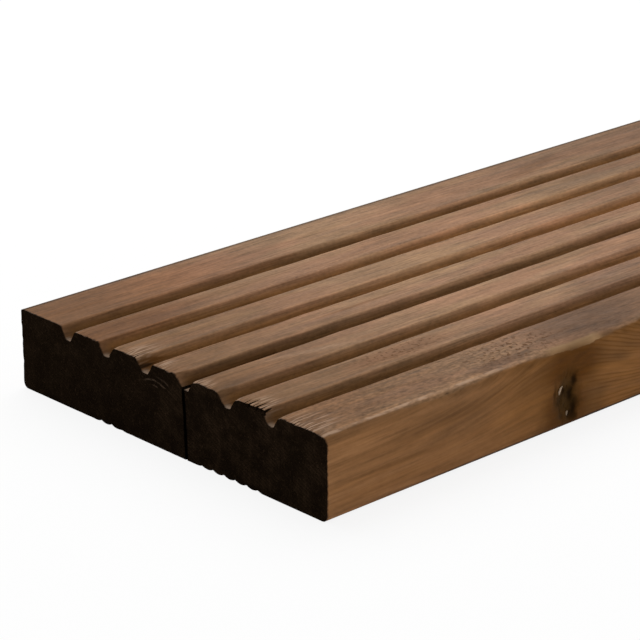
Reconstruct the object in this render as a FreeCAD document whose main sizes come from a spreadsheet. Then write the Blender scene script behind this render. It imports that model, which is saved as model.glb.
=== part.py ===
"""Softwood decking board with a grooved tread face, in millimetres.

The board lies flat with its grooves up. X runs along the board, Y across it and Z up, and the origin
is in the middle of the underside. The end with the drying check is at -X.
"""

import FreeCAD
import Part
import Sketcher
import os

NODE = "decking_board"

# Driving dimensions in millimetres, each with what it measures
DIMENSIONS = {
    "board_length": ("2400", "end to end, a length such boards are sold in"),
    "board_width": ("144", "finished width"),
    "board_thickness": ("27", "underside to the tops of the ridges"),
    "groove_count": ("6", "grooves in the tread face"),
    "groove_pitch": ("19.1", "centre to centre of neighbouring grooves"),
    "groove_mouth": ("7.2", "groove width where its walls reach the tread face"),
    "groove_floor": ("2.5", "groove width at its floor"),
    "groove_depth": ("4.2", "tread face down to the groove floor"),
    "ridge_arris_radius": ("0.8", "rounding of both lips of a groove"),
    "near_arris_radius": ("3", "rounding of the tread face's edge at -Y"),
    "far_arris_radius": ("0.8", "rounding of the tread face's edge at +Y"),
    "underside_arris_radius": ("2", "rounding of both edges of the underside"),
    "reed_pitch": ("5.05", "centre to centre of neighbouring reed valleys"),
    "reed_valley_count": ("6", "valleys in each reeded band"),
    "reed_depth": ("0.65", "underside up to the bottom of a valley"),
    "reed_crest": ("0.85", "flat left on the crest of a reed"),
    "reed_radius": ("5.2", "curve of a reed's flanks"),
    "reed_band_offset": ("29.3", "middle of the board to the middle of a band"),
    "check_groove": ("4", "groove, counted from +Y, that the check opens into"),
    "check_offset": ("0.45", "check from the centre of that groove, towards +Y"),
    "check_mouth": ("0.9", "opening of the check at the end grain"),
    "check_length": ("80", "how far the check runs in from the end"),
}

# Points of a sketched line, and the sketch's own origin and axes
START = 1
END = 2
ORIGIN = -1
ACROSS = -1
UPRIGHT = -2

# Edges closer than this are taken as lying together
TOUCH = 0.01

CUBIC_MM_PER_LITRE = 1e6


def make_sheet(doc):
    """Writes the driving dimensions to a spreadsheet and returns their values by alias."""
    sheet = doc.addObject("Spreadsheet::Sheet", "sizes")
    for row, (alias, (value, meaning)) in enumerate(DIMENSIONS.items(), start=1):
        sheet.set(f"A{row}", meaning)
        sheet.set(f"B{row}", value)
        sheet.setAlias(f"B{row}", alias)
    doc.recompute()
    return {alias: float(sheet.get(alias)) for alias in DIMENSIONS}


def origin_feature(body, role):
    """Returns the body's own plane or axis with this role."""
    return next(feature for feature in body.Origin.OriginFeatures if feature.Role == role)


def new_sketch(body, name, plane_role):
    sketch = body.newObject("Sketcher::SketchObject", name)
    sketch.AttachmentSupport = (origin_feature(body, plane_role), [""])
    sketch.MapMode = "FlatFace"
    return sketch


def tie(sketch, *terms):
    """Adds a constraint that has no size."""
    sketch.addConstraint(Sketcher.Constraint(*terms))


def drive(sketch, expression, value, *terms):
    """Adds a constraint whose size follows an expression, and equals value now."""
    number = sketch.addConstraint(Sketcher.Constraint(*terms, value))
    sketch.setExpression(f"Constraints[{number}]", expression)


def point(across, up):
    return FreeCAD.Vector(across, up, 0)


def add_outline(sketch, corners):
    """Adds a closed outline of straight lines and returns the lines' numbers."""
    ends = corners[1:] + corners[:1]
    lines = [
        sketch.addGeometry(Part.LineSegment(point(*start), point(*end)))
        for start, end in zip(corners, ends)
    ]
    for line, following in zip(lines, lines[1:] + lines[:1]):
        tie(sketch, "Coincident", line, END, following, START)
    return lines


def add_blank(body, size):
    """The planed blank: a plain rectangle run to the board's length."""
    half_width = size["board_width"] / 2
    thickness = size["board_thickness"]
    sketch = new_sketch(body, "blank_section", "YZ_Plane")
    corners = [(-half_width, 0), (half_width, 0), (half_width, thickness), (-half_width, thickness)]
    underside, near_side, top, far_side = add_outline(sketch, corners)
    tie(sketch, "Vertical", near_side)
    tie(sketch, "Horizontal", top)
    tie(sketch, "Vertical", far_side)
    tie(sketch, "Symmetric", underside, START, underside, END, UPRIGHT)
    tie(sketch, "PointOnObject", underside, START, ACROSS)
    drive(sketch, "sizes.board_width", size["board_width"], "DistanceX", underside, START, underside, END)
    drive(sketch, "sizes.board_thickness", thickness, "DistanceY", near_side, START, near_side, END)

    blank = body.newObject("PartDesign::Pad", "blank")
    blank.Profile = sketch
    blank.SideType = "Symmetric"
    blank.setExpression("Length", "sizes.board_length")
    return blank


def cut_along(body, name, sketch):
    """Cuts a section drawn across the board along its whole length."""
    cut = body.newObject("PartDesign::Pocket", name)
    cut.Profile = sketch
    cut.SideType = "Symmetric"
    cut.Type = "ThroughAll"
    return cut


def repeat_across(body, name, feature, count, pitch):
    """Repeats a cut towards +Y."""
    pattern = body.newObject("PartDesign::LinearPattern", name)
    pattern.Originals = [feature]
    pattern.Direction = (origin_feature(body, "Y_Axis"), [""])
    pattern.Mode = "Spacing"
    pattern.setExpression("Offset", pitch)
    pattern.setExpression("Occurrences", count)
    body.Tip = pattern
    return pattern


def add_grooves(body, size):
    """Drainage grooves with sloping walls and a flat floor, evenly spread over the tread face."""
    half_mouth = size["groove_mouth"] / 2
    half_floor = size["groove_floor"] / 2
    mouth_height = size["board_thickness"]
    floor_height = mouth_height - size["groove_depth"]
    half_spread = (size["groove_count"] - 1) / 2 * size["groove_pitch"]
    sketch = new_sketch(body, "groove_section", "YZ_Plane")
    corners = [
        (-half_spread - half_mouth, mouth_height),
        (-half_spread - half_floor, floor_height),
        (-half_spread + half_floor, floor_height),
        (-half_spread + half_mouth, mouth_height),
    ]
    near_wall, floor, far_wall, mouth = add_outline(sketch, corners)
    tie(sketch, "Horizontal", floor)
    tie(sketch, "Horizontal", mouth)
    tie(sketch, "Equal", near_wall, far_wall)
    drive(sketch, "sizes.groove_floor", size["groove_floor"], "DistanceX", floor, START, floor, END)
    drive(sketch, "sizes.groove_mouth", size["groove_mouth"], "DistanceX", mouth, END, mouth, START)
    drive(sketch, "sizes.groove_depth", size["groove_depth"], "DistanceY", near_wall, END, near_wall, START)
    drive(sketch, "sizes.board_thickness", mouth_height, "DistanceY", ORIGIN, START, mouth, START)
    drive(
        sketch,
        "(sizes.groove_count - 1) / 2 * sizes.groove_pitch + sizes.groove_floor / 2",
        half_spread + half_floor,
        "DistanceX", floor, START, ORIGIN, START,
    )
    groove = cut_along(body, "groove", sketch)
    return repeat_across(body, "grooves", groove, "sizes.groove_count", "sizes.groove_pitch")


def add_valley(sketch, size, near_base, expression):
    """One reed valley: two bowed flanks that rise from the underside to a sharp root."""
    width = size["reed_pitch"] - size["reed_crest"]
    depth = size["reed_depth"]
    radius = size["reed_radius"]
    root = near_base + width / 2
    far_base = near_base + width
    base = sketch.addGeometry(Part.LineSegment(point(near_base, 0), point(far_base, 0)))
    flanks = []
    for foot, side in ((near_base, -1), (far_base, 1)):
        middle = (point(foot, 0) + point(root, depth)) / 2
        half_chord = (point(root, depth) - middle).Length
        into_valley = point(-side * depth, -width / 2).normalize()
        bow = radius - (radius**2 - half_chord**2) ** 0.5
        arc = Part.Arc(point(foot, 0), middle + into_valley * bow, point(root, depth))
        flanks.append(sketch.addGeometry(arc))
    near_flank, far_flank = flanks
    tie(sketch, "Coincident", near_flank, arc_end(sketch, near_flank, near_base), base, START)
    tie(sketch, "Coincident", far_flank, arc_end(sketch, far_flank, far_base), base, END)
    near_root = arc_end(sketch, near_flank, root)
    tie(sketch, "Coincident", near_flank, near_root, far_flank, arc_end(sketch, far_flank, root))
    tie(sketch, "PointOnObject", base, START, ACROSS)
    tie(sketch, "Horizontal", base)
    tie(sketch, "Equal", near_flank, far_flank)
    drive(sketch, "sizes.reed_radius", radius, "Radius", near_flank)
    drive(sketch, "sizes.reed_pitch - sizes.reed_crest", width, "DistanceX", base, START, base, END)
    drive(
        sketch,
        "(sizes.reed_pitch - sizes.reed_crest) / 2",
        width / 2,
        "DistanceX", base, START, near_flank, near_root,
    )
    drive(sketch, "sizes.reed_depth", depth, "DistanceY", base, START, near_flank, near_root)
    drive(sketch, expression, near_base, "DistanceX", ORIGIN, START, base, START)


def arc_end(sketch, arc, across):
    """Returns which end of an arc lies at this place across the sketch."""
    start = sketch.getPoint(arc, START)
    return START if abs(start.x - across) < TOUCH else END


def add_reeds(body, size):
    """Two bands of fine reeds along the underside, drawn as the first valley of each band."""
    half_width = (size["reed_pitch"] - size["reed_crest"]) / 2
    half_spread = (size["reed_valley_count"] - 1) / 2 * size["reed_pitch"]
    reach = (
        "((sizes.reed_valley_count - 1) / 2 * sizes.reed_pitch"
        " + (sizes.reed_pitch - sizes.reed_crest) / 2)"
    )
    sketch = new_sketch(body, "reed_section", "YZ_Plane")
    for side, sign in ((-1, "-"), (1, "")):
        near_base = side * size["reed_band_offset"] - half_spread - half_width
        add_valley(sketch, size, near_base, f"{sign}sizes.reed_band_offset - {reach}")
    valley = cut_along(body, "reed_valley", sketch)
    return repeat_across(body, "reeds", valley, "sizes.reed_valley_count", "sizes.reed_pitch")


def add_check(body, size):
    """A drying check: a thin wedge, open at the end grain, from a groove's floor to the underside."""
    half_length = size["board_length"] / 2
    half_mouth = size["check_mouth"] / 2
    groove_steps = (size["groove_count"] - 1) / 2 - (size["check_groove"] - 1)
    place = groove_steps * size["groove_pitch"] + size["check_offset"]
    sketch = new_sketch(body, "check_outline", "XY_Plane")
    corners = [
        (-half_length, place + half_mouth),
        (-half_length, place - half_mouth),
        (-half_length + size["check_length"], place),
    ]
    mouth, near_wall, far_wall = add_outline(sketch, corners)
    tie(sketch, "Vertical", mouth)
    tie(sketch, "Equal", near_wall, far_wall)
    drive(sketch, "sizes.check_mouth", size["check_mouth"], "DistanceY", mouth, END, mouth, START)
    drive(sketch, "sizes.check_length", size["check_length"], "DistanceX", mouth, END, near_wall, END)
    drive(sketch, "sizes.board_length / 2", half_length, "DistanceX", mouth, END, ORIGIN, START)
    drive(
        sketch,
        "((sizes.groove_count - 1) / 2 - (sizes.check_groove - 1)) * sizes.groove_pitch"
        " + sizes.check_offset",
        place,
        "DistanceY", ORIGIN, START, near_wall, END,
    )
    check = body.newObject("PartDesign::Pocket", "check")
    check.Profile = sketch
    check.Type = "ThroughAll"
    check.Reversed = True
    return check


def long_edges(feature, wanted):
    """Names the edges that run straight along the board at places (y, z) that are wanted."""
    names = []
    for number, edge in enumerate(feature.Shape.Edges, start=1):
        start, end = edge.firstVertex().Point, edge.lastVertex().Point
        middle = (start + end) / 2
        straight = abs(start.y - end.y) < TOUCH and abs(start.z - end.z) < TOUCH
        if straight and abs(start.x - end.x) > TOUCH and wanted(middle.y, middle.z):
            names.append(f"Edge{number}")
    return names


def round_edges(body, name, base, radius, wanted):
    """Rounds the long edges at the wanted places."""
    fillet = body.newObject("PartDesign::Fillet", name)
    fillet.Base = (base, long_edges(base, wanted))
    fillet.setExpression("Radius", f"sizes.{radius}")
    return fillet


def add_roundings(doc, body, base, size):
    """Rounds the lips of the grooves, then the four long edges of the board."""
    half_width = size["board_width"] / 2
    thickness = size["board_thickness"]

    def is_at(value, wanted):
        return abs(value - wanted) < TOUCH

    roundings = (
        ("ridge_arrises", "ridge_arris_radius",
         lambda y, z: is_at(z, thickness) and not is_at(abs(y), half_width)),
        ("near_arris", "near_arris_radius",
         lambda y, z: is_at(z, thickness) and is_at(y, -half_width)),
        ("far_arris", "far_arris_radius",
         lambda y, z: is_at(z, thickness) and is_at(y, half_width)),
        ("underside_arrises", "underside_arris_radius",
         lambda y, z: is_at(z, 0) and is_at(abs(y), half_width)),
    )
    for name, radius, wanted in roundings:
        base = round_edges(body, name, base, radius, wanted)
        doc.recompute()
    return base


def check_cut(doc, body, before, name):
    """Recomputes, makes sure that a step took wood away, and returns the volume left."""
    doc.recompute()
    left = body.Shape.Volume
    if not left < before:
        raise RuntimeError(f"{name} took nothing away: {before} before, {left} after")
    return left


def check_document(doc, body):
    """Stops if any object failed or the board isn't one valid solid."""
    for item in doc.Objects:
        if "Invalid" in item.State or "Error" in item.State:
            raise RuntimeError(f"{item.Name} failed: {item.State}")
    shape = body.Shape
    if shape.isNull() or not shape.isValid() or len(shape.Solids) != 1:
        raise RuntimeError("the board isn't one valid solid")


def main():
    doc = FreeCAD.newDocument(NODE)
    size = make_sheet(doc)
    body = doc.addObject("PartDesign::Body", NODE)
    body.Label = NODE
    body.Placement = FreeCAD.Placement()

    add_blank(body, size)
    doc.recompute()
    volume = body.Shape.Volume
    grooves = add_grooves(body, size)
    volume = check_cut(doc, body, volume, "grooves")
    add_roundings(doc, body, grooves, size)
    volume = check_cut(doc, body, volume, "roundings")
    add_reeds(body, size)
    volume = check_cut(doc, body, volume, "reeds")
    add_check(body, size)
    check_cut(doc, body, volume, "check")

    check_document(doc, body)
    os.makedirs("parts", exist_ok=True)
    body.Shape.exportStep(f"parts/{body.Label}.step")
    box = body.Shape.BoundBox
    print(f"{body.Label}: {box.XLength:.2f} x {box.YLength:.2f} x {box.ZLength:.2f} mm")
    print(f"volume {body.Shape.Volume / CUBIC_MM_PER_LITRE:.3f} litres")


main()
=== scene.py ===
"""The looks of a grooved softwood decking board, laid out as a Blender add-on and run as a script."""

import math

import bmesh
import bpy
from mathutils import Matrix, Vector


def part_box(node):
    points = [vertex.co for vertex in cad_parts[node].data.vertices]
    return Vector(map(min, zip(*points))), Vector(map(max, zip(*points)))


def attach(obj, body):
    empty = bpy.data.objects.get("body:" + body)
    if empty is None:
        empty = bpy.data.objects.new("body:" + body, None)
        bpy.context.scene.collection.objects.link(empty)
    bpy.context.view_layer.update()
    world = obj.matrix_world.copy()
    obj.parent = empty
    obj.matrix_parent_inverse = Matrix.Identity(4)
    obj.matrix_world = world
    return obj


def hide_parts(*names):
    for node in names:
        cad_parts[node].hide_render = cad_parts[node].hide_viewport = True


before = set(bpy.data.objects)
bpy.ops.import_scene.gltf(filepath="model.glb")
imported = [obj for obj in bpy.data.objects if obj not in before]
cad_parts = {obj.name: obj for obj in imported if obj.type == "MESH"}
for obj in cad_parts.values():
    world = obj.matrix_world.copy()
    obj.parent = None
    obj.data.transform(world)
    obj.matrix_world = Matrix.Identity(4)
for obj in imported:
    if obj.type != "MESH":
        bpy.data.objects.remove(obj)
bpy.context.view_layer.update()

bl_info = {
    "name": "Decking board",
    "version": (1, 0, 0),
    "blender": (4, 5, 0),
    "location": "View3D > Sidebar > Decking",
    "description": "Models and finishes a grooved softwood decking board on its stage",
    "category": "Add Mesh",
}

NODE = "decking_board"
BODY = "root"

MM = 0.001
TOUCH = 0.02 * MM
LOW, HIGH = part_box(NODE)
NEAR_END = LOW.x
TREAD = HIGH.z
ALONG = Vector((1, 0, 0))
ACROSS = Vector((0, 1, 0))
UP = Vector((0, 0, 1))

# Least share of a unit normal along an axis for a face that counts as facing that way
FACING = 0.9

SMOOTH_ANGLE = math.radians(40)


def srgb(red, green, blue):
    """A colour written as it looks, from 0 to 255, as the linear values that shaders use."""
    def linear(value):
        share = value / 255
        return share / 12.92 if share <= 0.04045 else ((share + 0.055) / 1.055) ** 2.4

    return linear(red), linear(green), linear(blue)


def figure(name, default, description, **options):
    return bpy.props.FloatProperty(name=name, description=description, default=default, **options)


def length(name, default, description):
    return figure(name, default * MM, description, unit="LENGTH")


def colour(name, default, description):
    return bpy.props.FloatVectorProperty(
        name=name, description=description, default=srgb(*default), subtype="COLOR", min=0, max=1
    )


class DeckingSizes(bpy.types.PropertyGroup):
    """Sizes of the run section, its wear and the check."""

    groove_count: bpy.props.IntProperty(name="Grooves", description="Grooves in the tread face", default=6)
    groove_pitch: length("Groove pitch", 19.1, "Centre to centre of neighbouring grooves")
    groove_mouth: length("Groove mouth", 7.2, "Groove width where its walls reach the tread face")
    groove_floor: length("Groove floor", 2.5, "Groove width at its floor")
    groove_depth: length("Groove depth", 4.2, "Tread face down to the groove floor")
    near_lip: length("Near lip", 0.5, "Setback of the lip on the -Y side of each ridge")
    far_lip: length("Far lip", 0.8, "Setback of the lip on the +Y side of each ridge")
    groove_root: length("Groove root", 0.35, "Setback of the corners of a groove's floor")
    near_arris: length("Near arris", 3.0, "Rounding of the tread face's edge at -Y")
    far_arris: length("Far arris", 0.8, "Rounding of the tread face's edge at +Y")
    underside_arris: length("Underside arris", 2.0, "Rounding of both edges of the underside")
    reed_pitch: length("Reed pitch", 5.05, "Centre to centre of neighbouring reed valleys")
    reed_depth: length("Reed depth", 0.65, "Underside up to the bottom of a full valley")
    reed_crest: length("Reed crest", 0.85, "Flat left on the crest of a reed")
    reed_band: length("Reed band", 29.3, "Middle of the board to the middle of a band")
    check_mouth: length("Check mouth", 0.7, "Width of the check at the end")
    check_length: length("Check length", 80.0, "How far the check runs along the board")
    check_across: length("Check place", -8.3, "Middle of the check's top across the board")
    check_lean: length("Check lean", 1.2, "How far the check leans from its top to the underside")


class DeckingColours(bpy.types.PropertyGroup):
    """Colours of the timber."""

    tread_tan: colour("Tread tan", (149, 117, 88), "Paler wood of the tread face")
    tread_pink: colour("Tread pink", (146, 110, 84), "Redder wood of the tread face")
    tread_stain: colour("Tread stain", (144, 104, 68), "Stained wood near the checked end")
    tread_red: colour("Tread red", (126, 86, 62), "Reddened wood of the tread face")
    tread_grey: colour("Tread grey", (110, 83, 63), "Greyed wood of the tread face")
    # Groove brown: partly the wood's own colour and partly painted shade deep in the grooves
    groove_brown_and_shade: colour("Groove brown", (120, 83, 44), "Darker wood deep in the grooves")
    side_brown: colour("Side brown", (156, 112, 73), "Planed wood below the tread face")
    side_rich: colour("Side rich", (146, 97, 46), "Deeper wood about the knot")
    # Side dark: also the colour of the painted shade under the first ridge's worn lip
    side_dark: colour("Side dark", (98, 64, 32), "Darker streaks in the planed wood")
    arris_tan: colour("Arris tan", (162, 130, 94), "Bare wood on the arris over the knot")
    floor_end: colour("Groove end", (132, 114, 98), "Greyed groove floors at the end")
    # Fibre: pale fibres, also the colour of the painted highlights on the near arris and the ridge corners
    fibre: colour("Fibre", (190, 158, 132), "Loose pale fibres and worn edges")
    # Knot dark: also the colour of the painted shade along the far arris
    knot_dark: colour("Knot dark", (24, 13, 3), "Darkest wood of the knot")
    knot_olive: colour("Knot olive", (62, 44, 18), "Wood in the knot")
    knot_brown: colour("Knot brown", (84, 49, 11), "Dark wood that arches over the knot")
    # Resin: the pale colour of the painted glint on the resin beads
    resin: colour("Resin", (196, 172, 146), "Dried resin in the knot")
    end_dark: colour("End dark", (22, 15, 9), "Soaked end grain")
    end_ring: colour("End ring", (56, 42, 30), "Paler early wood in the end grain")


class DeckingStage(bpy.types.PropertyGroup):
    """Floor, light and camera."""

    floor: colour("Floor", (255, 255, 255), "Colour of the floor")
    floor_glow: figure(
        "Floor glow", 0.86, "Share of plain white in the floor that the camera sees",
        subtype="FACTOR", min=0, max=1
    )
    softbox_power: figure("Softbox", 36.0, "Power of the softbox over the board", unit="POWER")
    room_light: figure("Room", 0.52, "Strength of the light from all round the board")
    lens: figure("Lens", 152.29, "Focal length of the camera", unit="CAMERA")


def settings():
    scene = bpy.context.scene
    return scene.decking_sizes, scene.decking_colours, scene.decking_stage


# Selecting and shaping in edit mode


def pick(kind, test):
    """Selects the shown VERT, EDGE or FACE elements that pass a test, and returns how many there are."""
    bpy.ops.mesh.select_mode(type=kind)
    bpy.ops.mesh.select_all(action="DESELECT")
    mesh = bpy.context.edit_object.data
    work = bmesh.from_edit_mesh(mesh)
    elements = {"VERT": work.verts, "EDGE": work.edges, "FACE": work.faces}[kind]
    chosen = [element for element in elements if not element.hide and test(element)]
    for element in chosen:
        element.select_set(True)
    bmesh.update_edit_mesh(mesh)
    return len(chosen)


def score(places, axis, test):
    """Cuts lines across the faces that pass a test, at these places along an axis."""
    for place in places:
        if pick("FACE", test):
            bpy.ops.mesh.bisect(plane_co=axis * place, plane_no=axis, threshold=TOUCH)


def spread(start, end, step):
    """Even places from start to end, in millimetres, as metres."""
    count = round((end - start) / step)
    return [(start + (end - start) * number / count) * MM for number in range(count + 1)]


def near(value, wanted, reach=TOUCH):
    return abs(value - wanted) < reach


def runs_along(edge):
    """True for an edge along the board."""
    start, end = (vertex.co for vertex in edge.verts)
    return near(start.y, end.y) and near(start.z, end.z)


def pick_all():
    bpy.ops.mesh.select_all(action="SELECT")


def newly(add, name, **options):
    """Adds an object by an operator and names it."""
    bpy.ops.object.select_all(action="DESELECT")
    add(**options)
    made = bpy.context.active_object
    made.name = name
    return made


def start_block(name, low, high):
    """Adds a cube and takes it to a box in edit mode, so that its place is in its mesh."""
    block = newly(bpy.ops.mesh.primitive_cube_add, name, size=1)
    bpy.ops.object.mode_set(mode="EDIT")
    pick_all()
    bpy.ops.transform.resize(value=high - low)
    bpy.ops.transform.translate(value=(low + high) / 2)
    return block


def activate(piece):
    bpy.ops.object.select_all(action="DESELECT")
    piece.select_set(True)
    bpy.context.view_layer.objects.active = piece


# The run section


def groove_centres(sizes):
    half_spread = (sizes.groove_count - 1) / 2 * sizes.groove_pitch
    return [half_spread - number * sizes.groove_pitch for number in range(sizes.groove_count)]


def lip_lines(sizes, setback):
    """Places across of lines on the ridges, this far in from each groove's lips."""
    reach = sizes.groove_mouth / 2 + setback
    return [centre + side * reach for centre in groove_centres(sizes) for side in (-1, 1)]


def on_tread(face):
    return face.normal.z > FACING and near(face.calc_center_median().z, TREAD)


def plough_grooves(sizes):
    """Scores the tread face along each groove and sinks the floors."""
    half_mouth = sizes.groove_mouth / 2
    half_floor = sizes.groove_floor / 2
    for centre in groove_centres(sizes):
        lines = [centre + side * half for side in (-1, 1) for half in (half_mouth, half_floor)]
        score(lines, ACROSS, on_tread)
    reach = half_floor + TOUCH
    for centre in groove_centres(sizes):
        pick("VERT", lambda vertex: near(vertex.co.z, TREAD) and near(vertex.co.y, centre, reach))
        bpy.ops.transform.translate(value=UP * -sizes.groove_depth)


def round_off(test, setback, segments):
    """Rounds the edges along the board whose middles pass a test."""
    def wanted(edge):
        return runs_along(edge) and test((edge.verts[0].co + edge.verts[1].co) / 2)

    if not pick("EDGE", wanted):
        raise RuntimeError("no edge to round")
    bpy.ops.mesh.bevel(offset=setback, segments=segments, profile=0.5, clamp_overlap=False)


def round_section(sizes):
    """Rounds the lips and roots of the grooves and the board's four long edges."""
    centres = groove_centres(sizes)
    half_mouth = sizes.groove_mouth / 2
    half_floor = sizes.groove_floor / 2
    floor = TREAD - sizes.groove_depth

    def on_line(point, height, offset):
        return near(point.z, height) and any(near(point.y - centre, offset) for centre in centres)

    def on_root(point):
        return on_line(point, floor, half_floor) or on_line(point, floor, -half_floor)

    round_off(lambda point: on_line(point, TREAD, half_mouth), sizes.near_lip, 5)
    round_off(lambda point: on_line(point, TREAD, -half_mouth), sizes.far_lip, 4)
    round_off(on_root, sizes.groove_root, 2)
    round_off(lambda point: near(point.z, TREAD) and near(point.y, LOW.y), sizes.near_arris, 8)
    round_off(lambda point: near(point.z, TREAD) and near(point.y, HIGH.y), sizes.far_arris, 3)
    round_off(lambda point: near(point.z, LOW.z) and near(abs(point.y), HIGH.y), sizes.underside_arris, 4)


# Share of the full depth of each reed valley, from -Y to +Y: the cutter barely touched most of the far band
NEAR_VALLEYS = (0.9, 1.0, 1.0, 1.0, 1.0, 0.7)
FAR_VALLEYS = (0.1, 0.4, 1.0, 0.9, 0.15, 0.1)
FLANK_BOW = 0.32


def run_reeds(sizes):
    """Scores the underside along each reed and lifts the valleys, with bowed flanks between."""
    half_valley = (sizes.reed_pitch - sizes.reed_crest) / 2
    first = -(len(NEAR_VALLEYS) - 1) / 2 * sizes.reed_pitch
    for band, shares in ((-sizes.reed_band, NEAR_VALLEYS), (sizes.reed_band, FAR_VALLEYS)):
        for number, share in enumerate(shares):
            root = band + first + number * sizes.reed_pitch
            steps = ((-1, 0), (-0.5, FLANK_BOW), (0, 1), (0.5, FLANK_BOW), (1, 0))
            places = [root + step * half_valley for step, lift in steps]
            score(places, ACROSS, lambda face: face.normal.z < -FACING)
            for place, (step, lift) in zip(places, steps):
                pick("VERT", lambda vertex: near(vertex.co.z, LOW.z) and near(vertex.co.y, place))
                bpy.ops.transform.translate(value=UP * lift * share * sizes.reed_depth)


LIP_REACH = 0.9 * MM

# Stretches of the length from the checked end, each with the spacing of its cross lines, in millimetres
STRETCHES = (
    (0.0, 12.0, 0.6), (12.0, 93.0, 3.0), (93.0, 118.0, 0.85), (118.0, 150.0, 3.2), (150.0, 330.0, 7.5),
    (330.0, 2400.0, 30.0),
)


def divide_faces(sizes):
    """Scores the flats so that wear can be shaped: finest at the checked end and about the knot."""
    score(lip_lines(sizes, LIP_REACH), ACROSS, on_tread)
    score(spread(-66.0, 66.0, 2.4), ACROSS, on_tread)
    score(spread(2.6, 23.4, 0.8), UP, lambda face: face.normal.y < -FACING)
    score(spread(-70.5, 70.5, 1.5), ACROSS, lambda face: face.normal.x < -FACING)
    score(spread(1.5, 25.5, 1.5), UP, lambda face: face.normal.x < -FACING)


def divide_length():
    """Scores the whole board across, stretch by stretch."""
    for start, end, spacing in STRETCHES:
        for place in spread(start, end, spacing)[1:]:
            pick_all()
            bpy.ops.mesh.bisect(plane_co=ALONG * (NEAR_END + place), plane_no=ALONG, threshold=TOUCH)


# The check, the torn ridge and the knot


def cut_away(board, cutter, finish):
    """Takes a cutter out of the board, finishes the cut and deletes the cutter."""
    bpy.ops.object.mode_set(mode="OBJECT")
    cutter.data.materials.append(finish)
    activate(board)
    bpy.ops.object.modifier_add(type="BOOLEAN")
    cut = board.modifiers[-1]
    cut.operation = "DIFFERENCE"
    cut.solver = "EXACT"
    cut.material_mode = "TRANSFER"
    cut.object = cutter
    bpy.ops.object.modifier_apply(modifier=cut.name)
    bpy.data.objects.remove(cutter)
    if not board.data.polygons:
        raise RuntimeError("the cut left nothing of the board")


def open_check(board, sizes, end_finish):
    """Opens the drying check: an uneven wedge from the end, between a groove's floor and the underside."""
    overshoot, into_groove, unevenness = 2 * MM, 0.6 * MM, 0.22 * MM
    left_at_tip = 0.05
    half = sizes.check_mouth / 2
    low = Vector((NEAR_END - overshoot, sizes.check_across - half, LOW.z - overshoot))
    top = TREAD - sizes.groove_depth + into_groove
    high = Vector((NEAR_END + sizes.check_length, sizes.check_across + half, top))
    cutter = start_block("check_cutter", low, high)
    pick("VERT", lambda vertex: near(vertex.co.x, high.x))
    bpy.ops.transform.resize(value=(1, left_at_tip, 1), center_override=(high.x, sizes.check_across, 0))
    pick("VERT", lambda vertex: near(vertex.co.z, low.z))
    bpy.ops.transform.translate(value=ACROSS * -sizes.check_lean)
    for place in spread(2.0, 22.0, 4.0):
        pick_all()
        bpy.ops.mesh.bisect(plane_co=UP * place, plane_no=UP)
    pick("VERT", lambda vertex: vertex.co.x < NEAR_END and 0 < vertex.co.z < top - overshoot)
    bpy.ops.transform.vertex_random(offset=unevenness, seed=5)
    pick_all()
    bpy.ops.mesh.quads_convert_to_tris()
    cut_away(board, cutter, end_finish)


def break_ridge(board, end_finish):
    """Tears a thin layer off the end of one ridge, deepest on its -Y side."""
    shallow, deep = -33.6 * MM, -46.2 * MM
    depth, reach, overshoot = 1.5 * MM, 1.3 * MM, 1 * MM
    shallow_rise, shallow_set_back, unevenness = 1.2 * MM, 0.9 * MM, 0.32 * MM
    low = Vector((NEAR_END - overshoot, deep, TREAD - depth))
    high = Vector((NEAR_END + reach, shallow, TREAD + overshoot))
    cutter = start_block("tear_cutter", low, high)
    pick("VERT", lambda vertex: near(vertex.co.y, shallow) and near(vertex.co.z, low.z))
    bpy.ops.transform.translate(value=UP * shallow_rise)
    pick("VERT", lambda vertex: near(vertex.co.y, shallow) and near(vertex.co.x, high.x))
    bpy.ops.transform.translate(value=ALONG * -shallow_set_back)
    pick("EDGE", lambda edge: abs(edge.verts[0].co.y - edge.verts[1].co.y) > 2 * MM)
    bpy.ops.mesh.subdivide(number_cuts=15)
    pick("VERT", lambda vertex: shallow - TOUCH > vertex.co.y > deep + TOUCH)
    bpy.ops.transform.vertex_random(offset=unevenness, seed=9)
    pick_all()
    bpy.ops.mesh.quads_convert_to_tris()
    cut_away(board, cutter, end_finish)


# Splits in the ends of the ridges: place across, width, reach along the grain and depth, in millimetres
SPLITS = (
    (-36.2, 0.7, 3.4, 0.9), (-37.9, 1.0, 5.4, 1.3), (-39.7, 0.7, 3.8, 1.1), (-41.2, 1.2, 6.4, 1.5),
    (-42.9, 0.7, 4.4, 1.5), (-44.4, 0.9, 4.0, 2.0), (13.8, 0.6, 5.0, 1.5), (15.4, 0.5, 3.2, 0.9),
    (6.0, 0.4, 2.4, 0.7), (-58.0, 0.4, 2.6, 0.6), (-63.5, 0.4, 3.4, 0.6), (38.0, 0.4, 1.8, 0.6),
)


def split_fibres(board, end_finish):
    """Splits the fibres at the ends of the ridges with thin wedges that rise along the grain."""
    overshoot = 1 * MM
    left_at_tip, rise = 0.1, 0.8
    for across, width, reach, depth in SPLITS:
        middle, half = across * MM, width / 2 * MM
        low = Vector((NEAR_END - overshoot, middle - half, TREAD - depth * MM))
        high = Vector((NEAR_END + reach * MM, middle + half, TREAD + overshoot))
        cutter = start_block("split_cutter", low, high)
        pick("VERT", lambda vertex: near(vertex.co.x, high.x))
        bpy.ops.transform.resize(value=(1, left_at_tip, 1), center_override=(high.x, middle, 0))
        pick("VERT", lambda vertex: near(vertex.co.x, high.x) and near(vertex.co.z, low.z))
        bpy.ops.transform.translate(value=UP * (rise * depth * MM))
        cut_away(board, cutter, end_finish)


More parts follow.
